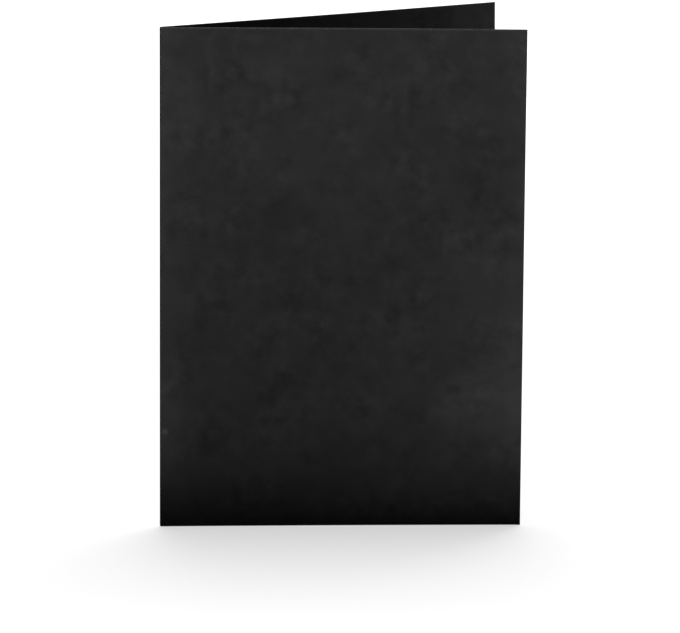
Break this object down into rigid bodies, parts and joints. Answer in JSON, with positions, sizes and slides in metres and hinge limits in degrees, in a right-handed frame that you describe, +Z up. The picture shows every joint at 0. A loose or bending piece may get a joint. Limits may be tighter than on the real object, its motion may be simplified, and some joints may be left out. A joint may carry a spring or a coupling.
{
  "type": "greeting card",
  "caption": "Blank folded greeting card in black stock, one scored sheet standing open on its foot with the fold at the left.",
  "frame": {"origin": "middle of the standing card's footprint box, on the surface that it stands on", "axes": "+Z up along the fold, -X towards the fold, +X towards the open free edges, -Y the side that the front panel faces"},
  "size_m": [0.1037, 0.0424, 0.148],
  "materials": {
    "black_card": "matte uncoated black card, dyed through, with a fine tooth"
  },
  "bodies": {
    "root": {"folded_card": "black_card"}
  },
  "joints": []
}
